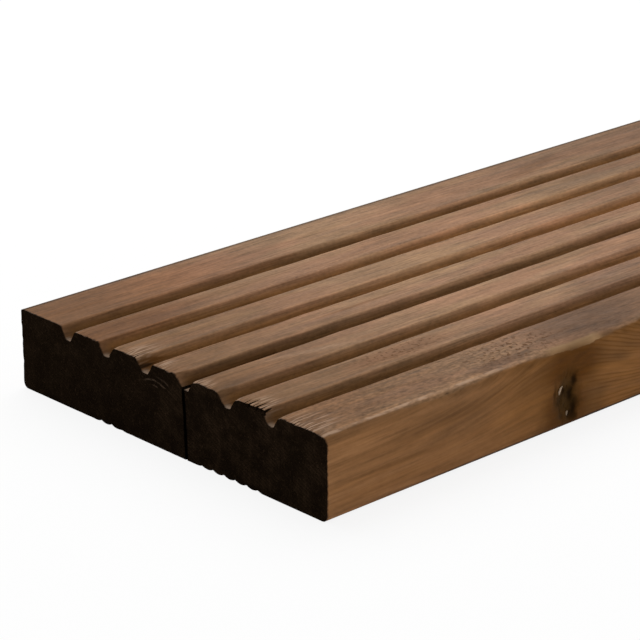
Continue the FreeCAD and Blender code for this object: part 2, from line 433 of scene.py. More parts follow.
KNOT_ALONG, KNOT_UP = 101.5, 10.2
KNOT_HALF_LENGTH, KNOT_HALF_HEIGHT = 6.5, 8.5

# Steps into the knot: where each starts, with 1 as the rim, and how much deeper it is in millimetres
KNOT_STEPS = ((1.05, 0.08), (0.85, 0.14), (0.65, 0.18), (0.45, 0.2))


def knot_reach(place):
    """Distance from the knot's middle over the -Y side, where 1 is its rim."""
    along = (place.x - NEAR_END) / MM - KNOT_ALONG
    return math.hypot(along / KNOT_HALF_LENGTH, (place.z / MM - KNOT_UP) / KNOT_HALF_HEIGHT)


def sink_knot():
    """Sinks the shrunken knot into the -Y side, in steps from its rim to its middle."""
    for reach, depth in KNOT_STEPS:
        pick("VERT", lambda v: near(v.co.y, LOW.y, 0.7 * MM) and knot_reach(v.co) < reach)
        bpy.ops.transform.translate(value=ACROSS * (depth * MM))


def roughen(board, name, weight, direction, strength, grain):
    """Moves part of the surface one way, evenly or by a cloudy grain, in millimetres; weight is by place."""
    group = board.vertex_groups.new(name=name)
    for vertex in board.data.vertices:
        share = weight(vertex.co)
        if share > 0:
            group.add([vertex.index], min(share, 1), "REPLACE")
    bpy.ops.object.modifier_add(type="DISPLACE")
    move = board.modifiers[-1]
    move.vertex_group = group.name
    move.direction = direction
    move.strength = strength * MM
    move.mid_level = 0
    if grain:
        clouds = bpy.data.textures.new(name, "CLOUDS")
        clouds.noise_scale = grain * MM
        clouds.contrast = 1.6
        clouds.use_clamp = True
        move.texture = clouds
        move.texture_coords = "LOCAL"
    bpy.ops.object.modifier_apply(modifier=move.name)
    board.vertex_groups.clear()


def ramp(value, start, end):
    """Goes evenly from 0 at start to 1 at end; end may be the lower of the two."""
    return min(max((value - start) / (end - start), 0), 1)


# How far the end of each ridge's -Y lip is worn back, from +Y to -Y, as a share of the most
WORN_CORNERS = (0, 0.1, 0.65, 1, 0.65, 0)

# Wear of the first ridge's lip, where the others have 1, and the share of it on the ridges' -Y sides
MOST_WORN, NEAR_LIP_WEAR = 1.4, 0.3

# Millimetres from the checked end: how far in the rim and the ridge corners are worn, where the lips start to
# wear and are fully worn, where the first ridge's lip is crisp and for how far, and the arris's dip
RIM_REACH, CORNER_REACH = 5, 7
LIPS_START, LIPS_WORN = 15, 65
CRISP_PLACE, CRISP_REACH, CRISP_END = 84, 28, 44
DIP_PLACE, DIP_REACH = 111, 26


def wear_board(board, sizes):
    """Gives the end, lips, arris and knot their uneven, worn shapes."""
    lips_across = lip_lines(sizes, 0)
    half_mouth = sizes.groove_mouth / 2
    half_floor = sizes.groove_floor / 2

    def from_end(place):
        return (place.x - NEAR_END) / MM

    def end_face(place):
        return ramp(place.z / MM, 3, 9) if place.x - NEAR_END < TOUCH else 0

    def rim(place):
        top = place.z > TREAD - 3 * MM and place.y < 50 * MM
        return ramp(from_end(place), RIM_REACH, 0) ** 2 if top else 0

    def lips(place):
        away = min(abs(place.y - line) for line in lips_across)
        worn = max(ramp(from_end(place), LIPS_START, LIPS_WORN), 0.06)
        if near(place.y, 51 * MM, 4 * MM):
            worn = MOST_WORN * ramp(abs(from_end(place) - CRISP_PLACE), CRISP_REACH, CRISP_END)
        if any(near(place.y, centre + half_mouth, LIP_REACH) for centre in groove_centres(sizes)):
            worn = NEAR_LIP_WEAR * worn
        return worn * ramp(away, LIP_REACH, 0) / MOST_WORN if place.z > TREAD - 2.5 * MM else 0

    def ridge_corner(place):
        height = (place.z - TREAD) / sizes.groove_depth + 1
        if height <= 0:
            return 0
        wall = half_floor + (half_mouth - half_floor) * height
        worn = 0
        for groove, amount in zip(groove_centres(sizes), WORN_CORNERS):
            worn = max(worn, amount * ramp(abs(place.y - groove - wall), 3 * MM, 0))
        return worn * height * ramp(from_end(place), CORNER_REACH, 0)

    def near_arris(place, reach):
        return ramp(math.hypot(place.y - LOW.y, place.z - TREAD), reach * MM, 0)

    def dip(place):
        lost = ramp(abs(from_end(place) - DIP_PLACE), DIP_REACH, 0)
        return near_arris(place, 6) * lost * (2 - lost)

    def knot(place):
        return max(1.1 - knot_reach(place), 0) if near(place.y, LOW.y, 2 * MM) else 0

    activate(board)
    roughen(board, "end_face", end_face, "X", 0.35, 1.1)
    roughen(board, "end_rim", rim, "Z", -0.7, 2.5)
    roughen(board, "ridge_corners", ridge_corner, "Y", 2.0, None)
    roughen(board, "groove_lips", lips, "Z", -0.9, 16)
    roughen(board, "near_arris", lambda place: near_arris(place, 4), "Z", -0.5, 8)
    roughen(board, "arris_dip_down", dip, "Z", -1.2, None)
    roughen(board, "arris_dip_in", dip, "Y", 0.6, None)
    roughen(board, "knot_cracks", knot, "Y", 0.5, 1.6)


# Beads of resin in the knot: place along and up, half width, half height, bow and lean in degrees
BEADS = ((99.7, 12.7, 0.27, 1.6, 0.7, 26), (102.5, 4.4, 0.3, 1.0, 0.3, 16))


def add_beads(board, resin_finish):
    """Sets the leaning beads of dried resin in the hollow of the knot and joins them to the board."""
    for along, up, half_width, half_height, bow, lean in BEADS:
        place = Vector((NEAR_END + along * MM, LOW.y + 0.7 * MM, up * MM))
        bead = newly(bpy.ops.mesh.primitive_uv_sphere_add, "bead", segments=20, ring_count=12, radius=MM)
        bpy.ops.object.mode_set(mode="EDIT")
        pick_all()
        bpy.ops.transform.resize(value=(half_width, 0.65, half_height))
        pick("VERT", lambda vertex: near(vertex.co.z, 0, 0.3 * half_height * MM))
        bpy.ops.transform.translate(
            value=ALONG * (-bow * MM), use_proportional_edit=True, proportional_size=half_height * MM
        )
        pick_all()
        bpy.ops.transform.rotate(value=math.radians(-lean), orient_axis="Y", center_override=(0, 0, 0))
        bpy.ops.transform.translate(value=place)
        bpy.ops.object.mode_set(mode="OBJECT")
        bead.data.materials.append(resin_finish)
        activate(board)
        bead.select_set(True)
        bpy.ops.object.join()


def model_board(sizes, finishes):
    planed, sawn, resin = finishes
    board = start_block("grooved_board", LOW, HIGH)
    for finish in finishes:
        board.data.materials.append(finish)
    plough_grooves(sizes)
    round_section(sizes)
    run_reeds(sizes)
    bpy.ops.object.mode_set(mode="OBJECT")
    open_check(board, sizes, sawn)
    split_fibres(board, sawn)
    break_ridge(board, sawn)
    bpy.ops.object.mode_set(mode="EDIT")
    divide_faces(sizes)
    divide_length()
    sink_knot()
    pick_all()
    bpy.ops.mesh.normals_make_consistent(inside=False)
    bpy.ops.object.mode_set(mode="OBJECT")
    for polygon in board.data.polygons:
        if abs(polygon.normal.x) > FACING:
            polygon.material_index = 1
    wear_board(board, sizes)
    add_beads(board, resin)
    bpy.ops.object.shade_smooth_by_angle(angle=SMOOTH_ANGLE)
    return board


# Finishes

# Places in finishes are in millimetres
TREAD_UP = TREAD / MM
NEAR_SIDE = LOW.y / MM
TREAD_COLOUR_EDGE, PALE_ARRIS_LINE = -70.4, -69.8
FOURTH_GROOVE = -9.5
CHECK_FOOT, CHECK_SLOPE = -9.5, 0.05
PITH_ACROSS, PITH_UP = 5.0, 8.0
GROWTH_SPACING, RING_SPACING, ARC_SPACING, SAW_SPACING = 0.9, 2.9, 2.1, 1.3


class Amount:
    """A number in a finish, added, taken away and multiplied as plain numbers are."""

    def __init__(self, finish, socket):
        self.finish = finish
        self.socket = socket

    def __add__(self, other):
        return self.finish.number("ADD", self, other)

    def __sub__(self, other):
        return self.finish.number("SUBTRACT", self, other)

    def __rsub__(self, other):
        return self.finish.number("SUBTRACT", other, self)

    def __mul__(self, other):
        return self.finish.number("MULTIPLY", self, other)

    def __abs__(self):
        return self.finish.number("ABSOLUTE", self)

    __radd__ = __add__
    __rmul__ = __mul__

    def fade(self, start, end):
        """Goes smoothly from 0 at start to 1 at end; end may be the lower of the two."""
        inputs = {"Value": self, "From Min": start, "From Max": end}
        made = self.finish.node("ShaderNodeMapRange", inputs, interpolation_type="SMOOTHSTEP")
        return Amount(self.finish, made.outputs["Result"])


class Finish:
    """A material and its nodes. Places are in millimetres: along from the checked end, across and up."""

    def __init__(self, name):
        self.material = bpy.data.materials.new(name)
        self.material.use_nodes = True
        self.tree = self.material.node_tree
        self.shader = self.tree.nodes["Principled BSDF"]
        metres = self.tree.nodes.new("ShaderNodeTexCoord").outputs["Object"]
        from_end = self.vector("SUBTRACT", metres, (NEAR_END, 0, 0))
        self.place = self.vector("MULTIPLY", from_end, (1 / MM,) * 3)
        parts = self.node("ShaderNodeSeparateXYZ", {0: self.place}).outputs
        self.axes = [Amount(self, socket) for socket in parts]
        self.along, self.across, self.up = self.axes

    def node(self, kind, inputs, **options):
        made = self.tree.nodes.new(kind)
        for name, value in options.items():
            setattr(made, name, value)
        for key, value in inputs.items():
            self.feed(made.inputs[key], value)
        return made

    def feed(self, socket, value):
        """Links a node's output to a socket, or sets the socket to a plain value."""
        if isinstance(value, Amount):
            value = value.socket
        if isinstance(value, bpy.types.NodeSocket):
            self.tree.links.new(value, socket)
        else:
            socket.default_value = value

    def vector(self, operation, first, second):
        made = self.node("ShaderNodeVectorMath", {0: first, 1: second}, operation=operation)
        return made.outputs["Vector"]

    def size(self, vector):
        made = self.node("ShaderNodeVectorMath", {0: vector}, operation="LENGTH")
        return Amount(self, made.outputs["Value"])

    def joined(self, along, across, up):
        return self.node("ShaderNodeCombineXYZ", {0: along, 1: across, 2: up}).outputs[0]

    def number(self, operation, *values):
        made = self.node("ShaderNodeMath", dict(enumerate(values)), operation=operation)
        return Amount(self, made.outputs[0])

    def larger(self, first, second):
        return self.number("MAXIMUM", first, second)

    def wave(self, value, spacing, shift=0):
        """Rises and falls between -1 and 1 at this spacing, shifted by radians."""
        return self.number("SINE", value * (2 * math.pi / spacing) + shift)

    def noise(self, lengths, detail=2.0, place=None, shift=0.0):
        """Noise about 0.5, with marks of about these lengths along, across and up."""
        moved = self.vector("ADD", place or self.place, (shift, shift, shift))
        scaled = self.vector("MULTIPLY", moved, tuple(1 / size for size in lengths))
        inputs = {"Vector": scaled, "Scale": 1.0, "Detail": detail}
        return Amount(self, self.node("ShaderNodeTexNoise", inputs).outputs["Fac"])

    def spot(self, centre, radii, soft=0.7, turn=0.0, place=None):
        """A soft patch, 1 in its middle and 0 outside its radii, turned in degrees about the upright."""
        offset = self.vector("SUBTRACT", place or self.place, centre)
        if turn:
            inputs = {"Vector": offset, "Angle": math.radians(turn)}
            offset = self.node("ShaderNodeVectorRotate", inputs, rotation_type="Z_AXIS").outputs[0]
        scaled = self.vector("MULTIPLY", offset, tuple(1 / radius for radius in radii))
        return self.size(scaled).fade(1, 1 - soft)

    def mix(self, share, first, second, blend="MIX"):
        made = self.node("ShaderNodeMix", {0: share}, data_type="RGBA", blend_type=blend)
        for socket, value in ((made.inputs[6], first), (made.inputs[7], second)):
            plain = not isinstance(value, (Amount, bpy.types.NodeSocket))
            self.feed(socket, (*value, 1.0) if plain else value)
        return made.outputs[2]

    def shade(self, colour, amount):
        """A colour made lighter or darker by an amount near 1."""
        return self.mix(1.0, colour, amount, "MULTIPLY")

    def surface(self, colour, roughness, specular):
        values = {"Base Color": colour, "Roughness": roughness, "Specular IOR Level": specular}
        for name, value in values.items():
            self.feed(self.shader.inputs[name], value)

    def relief(self, height):
        """Raises the surface by a height in millimetres."""
        made = self.node("ShaderNodeBump", {"Height": height, "Distance": MM, "Strength": 1.0})
        self.feed(self.shader.inputs["Normal"], made.outputs["Normal"])


def grain_flow(finish):
    """Place in the grain: fibres wander along the board, and arch over the knot."""
    along, across, up = finish.axes
    wander_across = 9 * (finish.noise((320, 40, 40), 1.0) - 0.5)
    wander_up = 7 * (finish.noise((240, 40, 40), 1.0, shift=370.0) - 0.5)
    reach = (along - KNOT_ALONG) * (1 / 40)
    parting = finish.number("EXPONENT", 0 - reach * reach)
    lift = 0.44 * up * parting * across.fade(-40, -66)
    return finish.joined(along, across + wander_across, up + wander_up - lift)


def near_edge(finish):
    """Distance from the uneven line where the tread face meets the near side, above 0 on the tread face."""
    ragged = 0.6 * (finish.noise((30, 60, 60), shift=700.0) - 0.5)
    ragged = ragged + 0.8 * (finish.noise((3, 60, 60), shift=720.0) - 0.5)
    sunk = finish.spot((48, -71, 26), (27, 14, 14), 1.0)
    over_knot = 0.6 * finish.spot((108, -71, 26), (22, 14, 14), 0.9)
    return finish.across + ragged + sunk + over_knot - TREAD_COLOUR_EDGE


def below_tread(finish):
    """1 on the two sides and the underside, and 0 on the tread face and in its grooves."""
    near_side = near_edge(finish).fade(0.3, -0.6)
    far_side = finish.across.fade(71.2, 71.9)
    underside = finish.up.fade(21.5, 19)
    return finish.larger(near_side, finish.larger(far_side, underside))


def side_colour(finish, colours, flow, broad, streak):
    """Golden brown wood below the tread face, with fine growth lines either side of the knot, and painted
    shade just under the tread face's arrises, along the lower arrises and in the reed valleys.
    """
    along, across, up = finish.axes
    tone = (0.3 * streak + 0.7 * broad).fade(0.38, 0.62)
    wood = finish.mix(0.45 * tone, colours.side_brown, colours.side_dark)
    flow_up = Amount(finish, finish.node("ShaderNodeSeparateXYZ", {0: flow}).outputs[2])
    ripple = finish.wave(flow_up, GROWTH_SPACING, 9 * finish.noise((30, 5, 5)))
    beyond = along.fade(104, 114) * along.fade(260, 150)
    before = 0.6 * along.fade(50, 85) * along.fade(98, 93)
    on_side = across.fade(-64, -70)
    faint = finish.noise((45, 3, 2.4), 2.0, flow, 300.0).fade(0.36, 0.62)
    upper = up.fade(14, 18) * along.fade(106, 118) * on_side
    faint = finish.larger(faint, upper)
    lines = 0.7 * ripple.fade(-0.2, 1) * faint * (beyond + before) * on_side
    wood = finish.mix(lines, wood, colours.side_dark)
    wood = finish.mix(0.5 * along.fade(55, 95) * on_side, wood, colours.side_rich)
    wood = finish.shade(wood, 1 - 0.14 * finish.spot((88, NEAR_SIDE, 12), (16, 9, 18)))
    band = finish.spot((42, NEAR_SIDE, 19.5), (34, 8, 4.5))
    wood = finish.mix(0.3 * band, wood, colours.side_dark)
    thin_band = finish.spot((28, NEAR_SIDE, 10.8), (28, 8, 1.0))
    wood = finish.mix(0.25 * thin_band, wood, colours.side_dark)
    # Painted shade on the sides just under the tread face's arrises
    wood = finish.shade(wood, 1 - 0.24 * up.fade(23, 26))
    low_down = up.fade(13, 5) * along.fade(90, 60) * on_side
    high_up = up.fade(13, 18) * along.fade(25, 50) * on_side
    wood = finish.shade(wood, 1 + 0.12 * low_down - 0.16 * high_up * up.fade(25, 22))
    wood = finish.shade(wood, 1 - 0.16 * upper * along.fade(300, 180))
    wood = finish.shade(wood, 1 - 0.38 * finish.spot((112, NEAR_SIDE, 4), (13, 9, 13)))
    away = abs(across)
    # Painted shade along the rounded lower arrises, away from the checked end
    low_arris_shade = up.fade(1.7, 1) * away.fade(70, 70.8)
    wood = finish.shade(wood, 1 - 0.78 * low_arris_shade * along.fade(0, 60))
    # Painted shade in the reed valleys of the underside
    valleys = up.fade(0.1, 0.6) * up.fade(3, 2) * away.fade(66, 60)
    return finish.shade(wood, 1 - 0.35 * valleys)


# Soft patches on the tread face where the wood is greyed, reddened, or a little lighter or darker: place
# along and across, half length and half width, in millimetres, and amount
GREYED = (
    (128, -60, 46, 18, 1.0), (12, -62, 26, 12, 0.8), (8, -20, 22, 9, 0.8),
    (62, -60, 60, 16, 0.4), (310, 62, 100, 22, 0.5), (76, -67, 22, 5, 1.0),
)
REDDENED = (
    (20, 60, 90, 20, 0.75), (10, 36, 50, 12, 1.0), (62, -38, 34, 6, 0.5),
)
TONED = (
    (234, 25, 50, 8, -0.22), (230, 64, 26, 9, -0.14), (50, 61, 40, 11, 0.18), (80, -35, 40, 8, 0.12),
    (105, -12, 55, 8, 0.18), (116, -66, 28, 8, -0.15), (13, -59, 16, 11, 0.18), (90, -68, 16, 6, -0.14),
    (58, 4, 50, 7, 0.14), (20, -15, 22, 7, 0.16), (242, 38, 62, 9, -0.24), (154, -44, 22, 17, -0.22),
    (156, -15, 52, 6, -0.17), (108, 20, 24, 9, -0.16), (138, 64, 30, 11, 0.14),
)
PATCH_REACH_UP = 8


def patches(finish, table):
    """The soft patches of a table, each as strong as its amount."""
    for along, across, half_length, half_width, amount in table:
        yield amount * finish.spot((along, across, TREAD_UP), (half_length, half_width, PATCH_REACH_UP))


def tread_colour(finish, colours, mottle):
    """Tan to pink tread face, greyer or redder in places and stained at the end; darker in the grooves,
    partly browner wood and partly painted shade, with painted light on the lips and upper walls.
    """
    along, across, up = finish.axes
    blotch = 0.8 * finish.noise((60, 12, 60), shift=90.0) + 0.2 * mottle
    wood = finish.mix(blotch.fade(0.4, 0.6), colours.tread_tan, colours.tread_pink)
    for patch in patches(finish, REDDENED):
        wood = finish.mix(patch, wood, colours.tread_red)
    grey = 0.45 * finish.noise((220, 22, 60), shift=510.0).fade(0.48, 0.66)
    grey = grey * along.fade(120, 240)
    for patch in patches(finish, GREYED):
        grey = finish.larger(grey, patch)
    wood = finish.mix(grey, wood, colours.tread_grey)
    stain = along.fade(95, 0)
    wood = finish.mix(0.5 * stain, wood, colours.tread_stain)
    middle = abs(across).fade(44, 30)
    brighter = 0.15 * middle * along.fade(60, 120) - 0.1 * along.fade(150, 260)
    wood = finish.shade(wood, 1 - 0.29 * stain + brighter)
    # Browner and darker deep in the grooves: partly the wood's own colour, partly painted shade
    deep = up.fade(26.8, 24.2) * along.fade(0, 5)
    wood = finish.mix(0.85 * deep, wood, colours.groove_brown_and_shade)
    # Painted light and shade on the groove walls: lighter in the +Y grooves and further from the end, darker
    # in the fourth groove and low in the first, and far from the end lighter by the lips and darker low down
    paler = 0.2 * across.fade(1, 6) + 0.36 * along.fade(30, 200)
    fourth = 0.2 * abs(across - FOURTH_GROOVE).fade(6, 3)
    far = along.fade(70, 130)
    far_lips = far * across.fade(-24, -12) * up.fade(27.02, 26.5)
    walls = up.fade(26.9, 26) * along.fade(0, 5)
    walls = finish.larger(walls, far_lips)
    first = 0.26 * across.fade(40, 44) * up.fade(26.8, 25.6)
    under_lips = 0.42 * up.fade(25.3, 26.6) - 0.17
    wood = finish.shade(wood, 1 + walls * (paler - fourth - first - 0.1 + far * under_lips))
    # Painted highlight on the ridges' lips near the checked end, weaker at the fourth groove
    near_lip_highlight = up.fade(27, 26.92) * up.fade(26.3, 26.65) * (1 - far)
    wood = finish.shade(wood, 1 + near_lip_highlight * along.fade(2, 10) * (0.3 - fourth))
    # Painted shade at the roots of the grooves, strongest near the checked end
    root = up.fade(25.2, 23) * along.fade(2, 8)
    wood = finish.shade(wood, 1 - root * (0.03 + 0.31 * along.fade(110, 20)))
    tone = 1
    for patch in patches(finish, TONED):
        tone = tone + patch
    return finish.shade(wood, tone)


# Pale streaks on the tread face: place along and across, and half length, in millimetres
PALE_STREAKS = ((38, -18.5, 17), (50, -21.5, 15), (158, -38, 12), (335, 40, 20))


def add_placed_marks(finish, colours, wood):
    """Marks seen at their own places on the tread face."""
    dark_streak = finish.spot((81, -0.5, TREAD_UP), (26, 0.9, 3))
    wood = finish.mix(0.4 * dark_streak, wood, colours.side_dark)
    stain = finish.spot((225, 59, TREAD_UP), (26, 5, 3), turn=-14)
    wood = finish.mix(0.3 * stain, wood, colours.side_dark)
    for along, across, half_length in PALE_STREAKS:
        light = finish.spot((along, across, TREAD_UP), (half_length, 2.6, 3), 1.0, turn=11)
        wood = finish.mix(0.2 * light, wood, colours.fibre)
    # Painted shade on the groove wall under the first ridge's worn lip
    under_lip_shade = finish.spot((88, 50.8, 26.2), (26, 1.6, 1.6))
    return finish.mix(0.5 * under_lip_shade, wood, colours.side_dark)


# Where fibres have frayed at the checked end: middle and reach, along, across and up, in millimetres
FRAYED = (
    ((0, 17, 26), (16, 6, 5)), ((0, 3, 26), (10, 5, 5)), ((2, -61, 26), (15, 11, 5)),
    ((3, -40, 26), (9, 7, 5)), ((0, -17, 26), (7, 5, 5)),
)

# Places across of the ridges' +Y corners, in millimetres
RIDGE_CORNERS = (44.2, 25.1, 6.0, -13.1, -32.2, -51.3)


def add_end_wear(finish, colours, wood):
    """Pale torn fibres, worn ridge corners lightened by a painted highlight, and a soaked edge at the checked
    end.
    """
    along, across, up = finish.axes
    strands = finish.noise((9, 0.65, 0.65), 1.0, shift=33.0).fade(0.47, 0.6)
    frayed = 0
    for centre, radii in FRAYED:
        frayed = finish.larger(frayed, finish.spot(centre, radii))
    wood = finish.shade(wood, 1 - 0.12 * frayed)
    wood = finish.mix(0.55 * strands * frayed, wood, colours.fibre)
    torn = finish.spot((0, 12.0, 25.0), (16, 2.0, 2.4), 0.6)
    wood = finish.mix(0.75 * torn * (1 - 0.6 * strands), wood, colours.knot_brown)
    chip = finish.spot((1.4, 11.6, 24.3), (5, 1.4, 0.8), 0.5)
    wood = finish.mix(0.8 * chip, wood, colours.knot_dark)
    grooved = abs(across).fade(60, 54) * up.fade(21, 22)
    soaked = up.fade(26.8, 25.6) * along.fade(9, 1) * grooved
    wood = finish.shade(wood, 1 - 0.3 * soaked)
    floors = up.fade(23.6, 22.9) * along.fade(3.6, 0.8) * grooved
    wood = finish.mix(0.7 * floors, wood, colours.floor_end)
    # Worn ridge corners at the checked end, lightened as a painted highlight
    worn_corner_highlight = 0
    for corner in RIDGE_CORNERS:
        worn_corner_highlight = finish.larger(worn_corner_highlight, finish.spot((0, corner, 26.8), (4, 1.6, 1.6)))
    wood = finish.mix(0.4 * worn_corner_highlight, wood, colours.fibre)
    ragged = along + 1.2 * (finish.noise((2, 1.4, 1.4)) - 0.5)
    return finish.mix(0.85 * ragged.fade(0.8, 0.1), wood, colours.end_dark)


def add_arris_wear(finish, colours, wood):
    """A painted highlight along the near arris, exposed wood over the knot with painted light along its lower
    edge, and painted shade on the far arris.
    """
    along, across, up = finish.axes
    edge = near_edge(finish)
    upper = up.fade(18, 22)
    over_knot = along.fade(92, 99) * along.fade(121, 115) * upper
    band = edge.fade(-0.1, 0.1) * edge.fade(2.8, 1.6) * over_knot
    # Painted light: the band grows lighter towards its lower edge, where the arris's rounding turns from the
    # light
    lit = 0.92 + 0.5 * edge.fade(1.6, 0)
    wood = finish.mix(0.9 * band, wood, finish.shade(colours.arris_tan, lit))
    # Painted highlight: a broken pale line along the near arris
    wavy = across + 0.5 * (finish.noise((5, 60, 60), shift=720.0) - 0.5) - PALE_ARRIS_LINE
    line = abs(wavy).fade(0.8, 0.2) * upper
    broken = finish.noise((7, 3, 3), shift=77.0).fade(0.44, 0.56)
    reach = along.fade(-2, 2) * along.fade(92, 60)
    wood = finish.mix((0.2 + 0.45 * broken) * line * reach, wood, colours.fibre)
    # Painted shade along the far arris
    far_arris_shade = across.fade(69.6, 70.8) * up.fade(25, 26.2)
    return finish.mix(0.6 * far_arris_shade, wood, colours.knot_dark)


# Dark marks in the knot: middle along and up, and reach along and up, in millimetres, and strength
KNOT_MARKS = (
    (105.2, 15.0, 2.6, 4.2, 1.0), (103.8, 10.8, 2.6, 5.0, 1.0), (104.8, 5.4, 3.0, 6.0, 1.0),
    (100.7, 12.0, 1.9, 2.8, 1.0), (103.1, 4.4, 1.7, 2.4, 0.9), (96.6, 12.6, 1.1, 4.8, 0.5),
    (98.6, 8.6, 1.0, 3.2, 0.5),
)


def add_knot(finish, colours, wood):
    """The knot in the -Y side: brown wood arched over it, an olive core and black cracks."""
    along, across, up = finish.axes
    face = across.fade(-68.5, -71)
    warp_along = 3.0 * (finish.noise((3.2, 3.2, 3.2)) - 0.5)
    warp_up = 3.0 * (finish.noise((3.2, 3.2, 3.2), shift=23.0) - 0.5)
    warped = finish.joined(along + warp_along, across, up + warp_up)
    over = finish.spot((104.5, NEAR_SIDE, 20), (20, 9, 12), 0.7)
    around = finish.spot((101, NEAR_SIDE, 6), (15, 9, 16), 0.7, place=warped)
    about = finish.larger(over, around) * face
    uneven = 1 + 1.1 * (finish.noise((5, 3, 1.6), 3.0, shift=45.0) - 0.5)
    wood = finish.mix(0.88 * about, wood, finish.shade(colours.knot_brown, uneven))
    core = finish.spot((102, NEAR_SIDE, 10), (7.5, 9, 12.5), 0.75, place=warped) * face
    wood = finish.mix(0.85 * core, wood, colours.knot_olive)
    cracks = 0.55 * finish.noise((1.6, 3.5, 3.5), shift=12.0).fade(0.46, 0.64) * core
    for mark_along, mark_up, half_along, half_up, strength in KNOT_MARKS:
        reach = (half_along, 9, half_up)
        mark = strength * finish.spot((mark_along, NEAR_SIDE, mark_up), reach, 0.9, place=warped)
        cracks = finish.larger(cracks, mark * face)
    return finish.mix(0.9 * cracks, wood, colours.knot_dark), cracks


def planed_timber(colours):
    """Planed and weathered softwood."""
    finish = Finish("planed_timber")
    flow = grain_flow(finish)
    broad = finish.noise((240, 12, 6), 2.0, flow)
    streak = finish.noise((55, 2.8, 2.2), 3.0, flow, 40.0)
    mottle = finish.noise((13, 3.2, 3.2), 2.0, flow, 150.0)
    fibre = finish.noise((20, 0.8, 0.8), 2.0, flow, 80.0)
    speck = finish.noise((1.6, 0.9, 0.9), 1.0, shift=210.0)
    side = side_colour(finish, colours, flow, broad, streak)
    top = add_placed_marks(finish, colours, tread_colour(finish, colours, mottle))
    sides = below_tread(finish)
    wood = finish.mix(sides, top, side)
    specks = 0.5 + 0.7 * finish.across.fade(-44, -58) * finish.along.fade(108, 88)
    fine = 0.85 * (fibre - 0.5) * (1 - 0.1 * sides) + specks * (speck - 0.5) * (1 - 0.85 * sides)
    coarse = 0.4 * (streak - 0.5) * (1 + 0.9 * sides) + 0.75 * (mottle - 0.5) * (1 - 0.3 * sides)
    wood = finish.shade(wood, 1 + coarse + 0.3 * (broad - 0.5) + fine)
    by_knot = finish.spot((88, -60.5, TREAD_UP), (30, 12, 6))
    on_ridge = 0.8 * finish.spot((62, -38, TREAD_UP), (26, 6, 5))
    pitted = finish.larger(by_knot, on_ridge) * (1 - sides)
    pits = finish.noise((1.3, 1.3, 1.3), 1.0).fade(0.57, 0.64) * pitted
    wood = finish.mix(0.7 * pits, wood, colours.knot_brown)
    wood = add_end_wear(finish, colours, add_arris_wear(finish, colours, wood))
    wood, cracks = add_knot(finish, colours, wood)
    finish.surface(wood, 0.62 + 0.5 * (streak - 0.5) + 0.25 * cracks, 0.08)
    finish.shader.inputs["Specular Tint"].default_value = (*colours.side_brown, 1)
    finish.relief(0.14 * fibre + 0.15 * streak - 0.12 * pits - 0.15 * cracks)
    return finish.material


def sawn_end(colours):
    """Soaked end grain: faint rings round the pith, slanting saw lines and dust."""
    finish = Finish("sawn_end")
    along, across, up = finish.axes
    warp = 4 * (finish.noise((20, 12, 12)) - 0.5)
    from_pith = finish.joined(0.0, across - PITH_ACROSS, (up - PITH_UP) * 1.15)
    radius = finish.size(from_pith) + warp
    rings = finish.wave(radius, RING_SPACING).fade(-0.3, 1)
    slant = up - 0.5 * across
    saw = finish.wave(slant, SAW_SPACING, 2.5 * finish.noise((9, 9, 9))).fade(0, 1)
    cloudy = finish.noise((14, 7, 5), 3.0, shift=61.0).fade(0.35, 0.75)
    cloudy = cloudy * (0.5 + 0.5 * across.fade(14, -8))
    grit = finish.noise((0.8, 0.8, 0.8), shift=9.0).fade(0.4, 0.7)
    share = (0.15 * rings + 0.3 * saw + 0.18) * cloudy + 0.22 * grit
    arcs = finish.wave(radius, ARC_SPACING).fade(0.2, 1)
    broken = finish.noise((4, 4, 1.6), shift=19.0).fade(0.4, 0.56)
    arcs = arcs * broken * finish.spot((0, 3.8, 21.2), (9, 9, 2.6), 0.6)
    dust = finish.noise((0.7, 0.7, 0.7), 1.0, shift=5.0).fade(0.7, 0.77)
    wood = finish.mix(share + 0.6 * dust, colours.end_dark, colours.end_ring)
    wood = finish.mix(0.09 * arcs, wood, colours.fibre)
    # Painted shade in and beside the check on the end face
    from_check = abs(across - CHECK_FOOT - CHECK_SLOPE * up)
    check = from_check.fade(1, 0.5) * along.fade(120, 90)
    wood = finish.shade(wood, 1 - 0.9 * check * up.fade(23.2, 22.6))
    finish.surface(wood, 0.9 + 0.15 * (cloudy - 0.5), 0)
    finish.relief(0.15 * saw + 0.12 * rings + 0.4 * grit)
    return finish.material


def dried_resin(colours):
    """Glossy resin with a painted glint: pale patches on its outer side."""
    finish = Finish("dried_resin")
    # Painted glint on the beads, dimmer on the lower bead
    painted_glint = finish.noise((1.6, 1.6, 1.6), 1.0, shift=3.0).fade(0.32, 0.46)
    painted_glint = painted_glint * (0.6 + 0.4 * finish.up.fade(6, 11))
    finish.surface(finish.mix(painted_glint, colours.knot_olive, colours.resin), 0.3 + 0.3 * painted_glint, 0.2)
    return finish.material


class DECKING_OT_add_board(bpy.types.Operator):
    """Model the grooved board and give it its timber finishes"""

    bl_idname = "decking.add_board"
    bl_label = "Add grooved board"

    def execute(self, context):
        sizes, colours, _ = settings()
        board = model_board(sizes, (planed_timber(colours), sawn_end(colours), dried_resin(colours)))
        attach(board, BODY)
        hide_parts(NODE)
        return {"FINISHED"}


# The stage

FLOOR_SIZE, CLIP_END = 80, 200

# The photograph's camera: its place from the middle of the checked end, and two of its axes
CAMERA_FROM_END = Vector((-480.7, -590.72, 333.29)) * MM
CAMERA_RIGHT = Vector((0.73294, -0.68025, -0.00779))
CAMERA_UP = Vector((0.24835, 0.25689, 0.93399))


